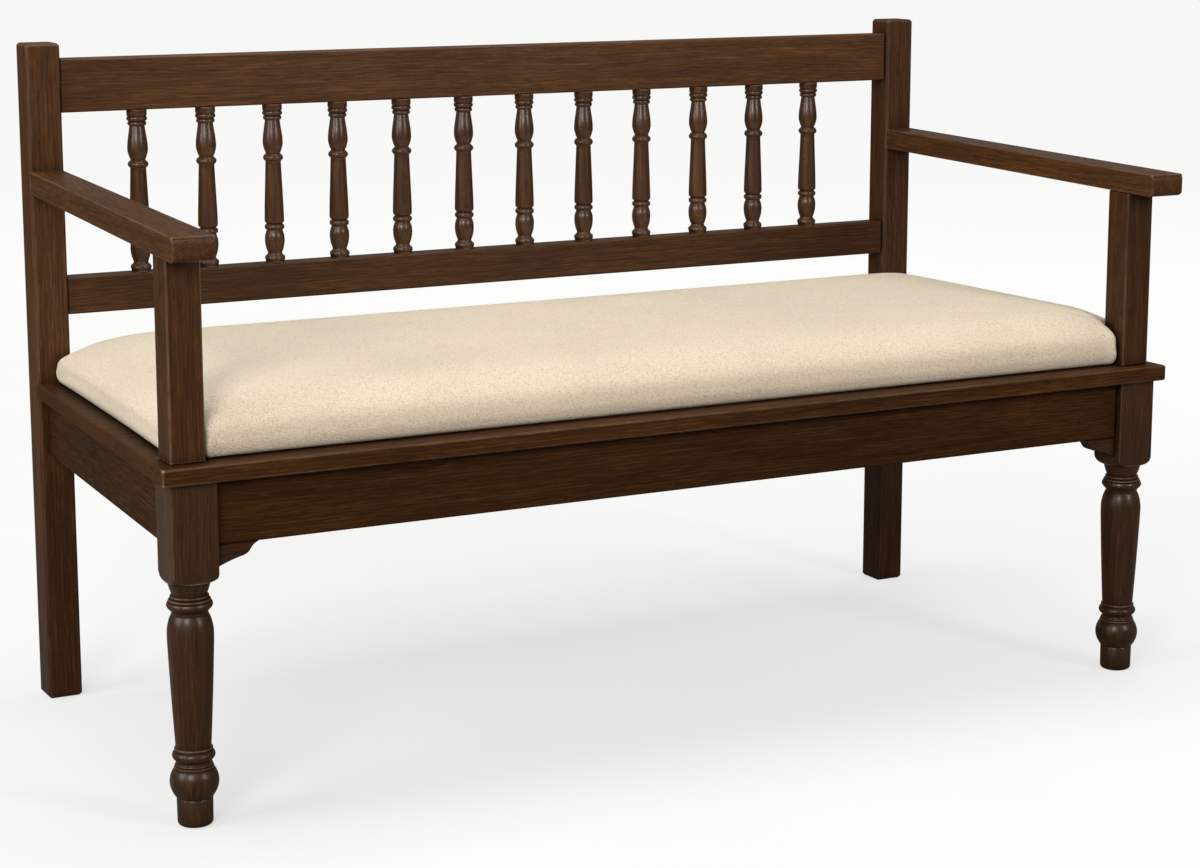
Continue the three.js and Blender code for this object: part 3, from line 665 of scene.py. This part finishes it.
# Grain direction, rounding of the edges in millimetres, depth of stain and of painted shade, and rubbing of
# the edges with their painted highlight. The pieces that stand in shade, such as the aprons under the seat
# and the posts on the right, are given a lower depth, as painted shade.
BOARDS = {
    "rear_post_left": ("z", 1.3, 0.87, 0.7), "rear_post_right": ("z", 1.3, 0.72, 0.5),
    "arm_post_left": ("z", 0.6, 0.82, 1.0), "arm_post_right": ("z", 0.6, 0.68, 0.5),
    "crest_rail": ("x", 0.9, 0.96, 0.3), "lower_back_rail": ("x", 0.9, 0.71, 0.3),
    "front_apron": ("x", 0.8, 0.52, 0.1), "rear_apron": ("x", 0.8, 0.55, 0.1),
    "side_apron_left": ("y", 0.8, 0.50, 0.1), "side_apron_right": ("y", 0.8, 0.50, 0.1),
    "apron_bracket_left": ("x", 0.4, 0.48, 0.0), "apron_bracket_right": ("x", 0.4, 0.48, 0.0),
}
DULL_BOARDS = ("front_apron", "side_apron_left", "side_apron_right")
BOARD_FOOT_SHADE = {"rear_post_left": 0.62}    # boards painted darker towards the floor, as shade
# Rounding of the edges in millimetres. The planks share one material, rubbed and lit with a painted
# highlight at the seat's front edge.
PLANKS = {"seat_plank_front": 1.0, "seat_plank_middle": 0.6, "seat_plank_rear": 0.6}
WORN_AND_GLINT_STRIP = 6 * MM
# Grain direction of the pieces that don't show, and the rounding of their edges.
HIDDEN = {
    "cross_bearer_left": "y", "cross_bearer_right": "y",
    "front_corner_block_left": "x", "front_corner_block_right": "x",
    "rear_corner_block_left": "x", "rear_corner_block_right": "x",
    "arm_post_dowel_left": "z", "arm_post_dowel_right": "z",
    "armrest_dowel_left": "z", "armrest_dowel_right": "z",
}
HIDDEN_EDGE = 0.4 * MM
SCREW_EDGE = 0.3 * MM


def dress(node, material):
    mesh = nodes[node].data
    mesh.materials.clear()
    mesh.materials.append(material)


def make_boards():
    for number, (node, (grain, radius, depth, wear_and_glint)) in enumerate(BOARDS.items()):
        soften(node, radius * MM)
        look = DULL if node in DULL_BOARDS else STAINED
        foot = BOARD_FOOT_SHADE.get(node, 1.0)
        dress(node, wood("wood_" + node, grain, look, number + 1, depth, wear_and_glint, foot))
    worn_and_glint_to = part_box("seat_plank_front")[0].y + WORN_AND_GLINT_STRIP
    # The seat's low depth is partly painted shade.
    seat = wood("wood_seat", "x", DULL, 13, depth=0.70, wear_and_glint=0.9, worn_and_glint_to=worn_and_glint_to)
    for node, radius in PLANKS.items():
        soften(node, radius * MM)
        dress(node, seat)
    for number, (node, grain) in enumerate(HIDDEN.items()):
        soften(node, HIDDEN_EDGE, 1)
        dress(node, wood("wood_" + node, grain, PLAIN, number + 40))
    soften("pad_base", HIDDEN_EDGE, 1)
    dress("pad_base", plywood("birch_ply"))
    plating = zinc("zinc_plating")
    for node in nodes:
        if "_screw_" in node:
            soften(node, SCREW_EDGE, 2)
            dress(node, plating)


# ---- Cushion ------------------------------------------------------------------------------------

PAD_VOXEL = 5 * MM
PAD_SWELL = 4 * MM               # furthest that a point of the skin may move
PAD_HELD = 6 * MM                # the skin is tacked down below this height
PAD_TUCK = 5 * MM                # how far the foot of the skin is tucked in
PAD_TUCK_HEIGHT = 20 * MM
PAD_ROUND = 20 * MM              # how far the top falls at the edges, and over what distance
PAD_ROUND_REACH = 20 * MM
PAD_REAR_FALL = 6 * MM           # how far it sinks towards the back
PAD_REAR_REACH = 90 * MM
PAD_LEFT_FALL = 12 * MM          # and towards the left end, which is the more sat on
PAD_LEFT_REACH = 70 * MM
PAD_RIGHT_SHARE = 0.4            # the right end is rounded less
PAD_POST_FALL = {"left": 9 * MM, "right": 3 * MM}    # how far it is pinched down beside an arm post
PAD_POST_REACH = 12 * MM
PAD_CORNER = 20 * MM             # the front corners are squared up over this distance
POST_CLEARANCE = 0.8 * MM        # between the pad and an arm post
PAD_WAIST_ENDS = 2 * MM          # how far the sides draw in between the corners
PAD_WAIST_SIDES = 2.5 * MM
PAD_FRAMES = 20                  # length of the simulation
SEAT_WIDENING = 26 / 667         # how much wider the seat is at its front edge than at the back
SEAT_DEPTH = 568 * MM


def widening(points):
    """How much wider the seat is at each point than at the rear posts."""
    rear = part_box("rear_post_left")[0].y
    return 1 + SEAT_WIDENING * np.clip((rear - points[:, 1]) / SEAT_DEPTH, 0, None)


def shaped(points):
    """Lets the top fall away to the edges, tucks in the foot and draws in the sides a little between
    the corners."""
    low, high = points.min(axis=0), points.max(axis=0)
    above = points[:, 2] - low[2]
    left, front = points[:, 0] - low[0], points[:, 1] - low[1]
    right, rear = high[0] - points[:, 0], high[1] - points[:, 1]
    kept = 1 - PAD_RIGHT_SHARE * np.exp(-right / PAD_ROUND_REACH)
    for gap in (left, front, rear):
        kept = kept * (1 - np.exp(-gap / PAD_ROUND_REACH))
    fall = PAD_ROUND * (1 - kept) + PAD_REAR_FALL * np.exp(-rear / PAD_REAR_REACH)
    fall += PAD_LEFT_FALL * np.exp(-(left / PAD_LEFT_REACH) ** 2)
    points[:, 2] -= fall * (above / (high[2] - low[2])) ** 2

    centre, half = (low + high) / 2, (high - low) / 2
    along = (points[:, 0] - centre[0]) / half[0]
    across = (points[:, 1] - centre[1]) / half[1]
    tuck = PAD_TUCK * np.clip(1 - above / PAD_TUCK_HEIGHT, 0, 1) ** 2
    points[:, 0] -= PAD_WAIST_ENDS * along ** 3 * (1 - across ** 2) + tuck * along
    points[:, 1] -= PAD_WAIST_SIDES * across ** 3 * (1 - along ** 2) + tuck * across


def fitted_to_posts(points, bottom, height):
    """Squares up the two corners in front of the arm posts and pinches the top down beside the posts."""
    front = points[:, 1].min()
    for end, side in (("left", -1), ("right", 1)):
        low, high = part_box("arm_post_" + end)
        inner = min(side * low.x, side * high.x)
        out = (side * points[:, 0] - (inner - PAD_CORNER)) / PAD_CORNER
        forward = (front + PAD_CORNER - points[:, 1]) / PAD_CORNER
        corner = (out > 0) & (forward > 0)
        stretch = (np.hypot(out, forward) / np.maximum((out ** 4 + forward ** 4) ** 0.25, 1e-9))[corner]
        points[corner, 0] = side * (inner - PAD_CORNER + out[corner] * stretch * PAD_CORNER)
        points[corner, 1] = front + PAD_CORNER - forward[corner] * stretch * PAD_CORNER
        beside = np.clip(inner - side * points[:, 0], 0, None)
        behind = np.clip(points[:, 1] - high.y, 0, None)
        near = np.exp(-np.hypot(beside, behind) / PAD_POST_REACH)
        share = np.clip((points[:, 2] - bottom) / height, 0, 1) ** 2
        points[:, 2] -= PAD_POST_FALL[end] * near * share


def keep_off_posts(points):
    """Pushes points out of the space of the arm posts, each by the shorter way."""
    for node, side in (("arm_post_left", -1), ("arm_post_right", 1)):
        low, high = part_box(node)
        inner = min(side * low.x, side * high.x) - POST_CLEARANCE
        rear = high.y + POST_CLEARANCE
        too_far_out = side * points[:, 0] - inner
        too_far_front = rear - points[:, 1]
        inside = (too_far_out > 0) & (too_far_front > 0)
        sideways = inside & (too_far_out < too_far_front)
        points[sideways, 0] = side * inner
        points[inside & ~sideways, 1] = rear


def relax(obj):
    even_out = obj.modifiers.new("relax", "SMOOTH")
    even_out.factor = 0.5
    even_out.iterations = 3


def even_skin(obj):
    """Gives an object a new skin of even small faces."""
    remesh = obj.modifiers.new("even skin", "REMESH")
    remesh.mode = "VOXEL"
    remesh.voxel_size = PAD_VOXEL
    relax(obj)
    applied(obj)


def coordinates(mesh):
    flat = np.empty(len(mesh.vertices) * 3)
    mesh.vertices.foreach_get("co", flat)
    return flat.reshape(-1, 3)


def place_vertices(mesh, points):
    mesh.vertices.foreach_set("co", points.ravel())
    mesh.update()


def blow_up(obj, held):
    """Fills the skin under pressure while its held points stay put."""
    group = obj.vertex_groups.new(name="held")
    group.add([int(i) for i in np.flatnonzero(held)], 1.0, "REPLACE")
    cloth = obj.modifiers.new("cloth", "CLOTH")
    settings = cloth.settings
    settings.quality = 6
    settings.mass = 0.3
    settings.tension_stiffness = 12
    settings.compression_stiffness = 12
    settings.shear_stiffness = 6
    settings.bending_stiffness = 1.5
    settings.use_pressure = True
    settings.uniform_pressure_force = 4
    settings.vertex_group_mass = "held"
    settings.effector_weights.gravity = 0
    cloth.collision_settings.use_collision = False
    scene = bpy.context.scene
    for number in range(1, PAD_FRAMES + 1):
        scene.frame_set(number)
    applied(obj)
    scene.frame_set(1)


def make_pad():
    """Blows the CAD pad's skin up on a straight seat, shapes it and then widens it with the seat."""
    source = nodes["seat_pad"].data
    low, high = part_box("seat_pad")
    corners = coordinates(source)
    corners[:, 0] /= widening(corners)
    piece = new_object("upholstered_pad", corners, [tuple(p.vertices) for p in source.polygons])
    even_skin(piece)
    start = coordinates(piece.data)
    blow_up(piece, start[:, 2] - low.z < PAD_HELD)
    moved = coordinates(piece.data) - start
    far = np.linalg.norm(moved, axis=1, keepdims=True)
    place_vertices(piece.data, start + moved * np.minimum(1, PAD_SWELL / np.maximum(far, 1e-9)))
    relax(piece)
    finer = piece.modifiers.new("finer", "SUBSURF")
    finer.levels = 1
    finer.render_levels = 1
    applied(piece)
    points = coordinates(piece.data)
    shaped(points)
    points[:, 0] *= widening(points)
    fitted_to_posts(points, low.z, high.z - low.z)
    keep_off_posts(points)
    points[:, 2] = np.maximum(points[:, 2], low.z)
    place_vertices(piece.data, points)
    smooth(piece, 180)
    finished(piece, woven_cloth("cream_weave"), ["seat_pad"])


# ---- Stage, light and camera --------------------------------------------------------------------

FLOOR_REACH = 60
FLOOR_DROP = 0.5 * MM                # keeps the floor from cutting the feet
FLOOR_TONES = (0.318, 0.328)         # the floor as it is seen
FLOOR_BOUNCE = (0.26, 0.24, 0.21)    # what it throws back on to the pew
BRIGHTEST = (-1.5, -1.5, 0)          # where the lamps fall strongest, so where the floor glows least
GLOW = {"From Max": 6.5, "To Min": 0.545, "To Max": 0.842}
SURROUNDINGS = (0.265, 0.258, 0.245)  # what the pew sees around it
BACKDROP = (0.948, 0.948, 0.944)     # what stands behind it


def make_stage():
    reach = FLOOR_REACH
    corners = [(-reach, -reach, 0), (reach, -reach, 0), (reach, reach, 0), (-reach, reach, 0)]
    floor = new_object("studio_floor", corners, [(0, 1, 2, 3)])
    floor.location.z = -FLOOR_DROP
    s = Shader("pale_floor")
    place = s.place()
    mottle = s.noise(place, 3, detail=2)
    seen = s.node("LightPath").outputs["Is Camera Ray"]
    darker, lighter = FLOOR_TONES
    shown = s.ramp(mottle, (0.3, (darker,) * 3), (0.7, (lighter,) * 3))
    s.set(Base_Color=s.mix(seen, (*FLOOR_BOUNCE, 1), shown), Roughness=1.0)
    away = s.node("VectorMath", {0: place, 1: BRIGHTEST}, operation="DISTANCE").outputs["Value"]
    glow = s.node("MapRange", {"Value": away, **GLOW}, interpolation_type="SMOOTHSTEP").outputs[0]
    s.set(Specular_IOR_Level=0.0, Emission_Color=(1, 1, 1, 1))
    s.set(Emission_Strength=s.math("MULTIPLY", glow, seen))
    floor.data.materials.append(s.material)

    world = bpy.data.worlds.new("studio")
    world.use_nodes = True
    tree = world.node_tree
    tone = tree.nodes.new("ShaderNodeMix")
    tone.data_type = "RGBA"
    tone.inputs[6].default_value = (*SURROUNDINGS, 1)
    tone.inputs[7].default_value = (*BACKDROP, 1)
    ray = tree.nodes.new("ShaderNodeLightPath")
    tree.links.new(ray.outputs["Is Camera Ray"], tone.inputs[0])
    tree.links.new(tone.outputs[2], tree.nodes["Background"].inputs["Color"])
    bpy.context.scene.world = world


def area_light(name, place, aim, size, power):
    data = bpy.data.lights.new(name, "AREA")
    data.shape = "RECTANGLE"
    data.size, data.size_y = size
    data.energy = power
    lamp = bpy.data.objects.new(name, data)
    lamp.location = place
    lamp.rotation_euler = (Vector(aim) - Vector(place)).to_track_quat("-Z", "Y").to_euler()
    bpy.context.scene.collection.objects.link(lamp)


LIT_POINT = (0, 0, 0.45)
# Place, size and power of each lamp.
LAMPS = {
    "key_softbox": ((-2.7, -2.9, 2.2), (1.3, 1.5), 92),
    "side_softbox": ((-3.6, -0.3, 1.7), (1.7, 1.7), 56),
    "fill_softbox": ((1.6, -3.4, 1.9), (0.7, 1.3), 46),
    "top_softbox": ((0.0, 0.2, 3.2), (3.0, 1.6), 50),
}


def make_lights():
    for name, (place, size, power) in LAMPS.items():
        area_light(name, place, LIT_POINT, size, power)


CAMERA_AZIMUTH = -27.8           # to the left of the pew's front
CAMERA_TILT = 10.17              # down from level
CAMERA_PLACE = (-1.587, -3.006, 1.045)
CAMERA_LENS = 79.7
CAMERA_SENSOR = 36
CAMERA_SHIFT = -0.06


def make_camera():
    data = bpy.data.cameras.new("camera")
    data.lens = CAMERA_LENS
    data.sensor_width = CAMERA_SENSOR
    data.shift_y = CAMERA_SHIFT
    camera = bpy.data.objects.new("camera", data)
    camera.location = CAMERA_PLACE
    camera.rotation_euler = (math.radians(90 - CAMERA_TILT), 0, math.radians(CAMERA_AZIMUTH))
    bpy.context.scene.collection.objects.link(camera)
    bpy.context.scene.camera = camera


make_camera()
make_stage()
make_lights()
make_boards()
make_spindles()
make_legs()
make_arms()
make_pad()
bpy.context.scene.view_settings.view_transform = "Standard"
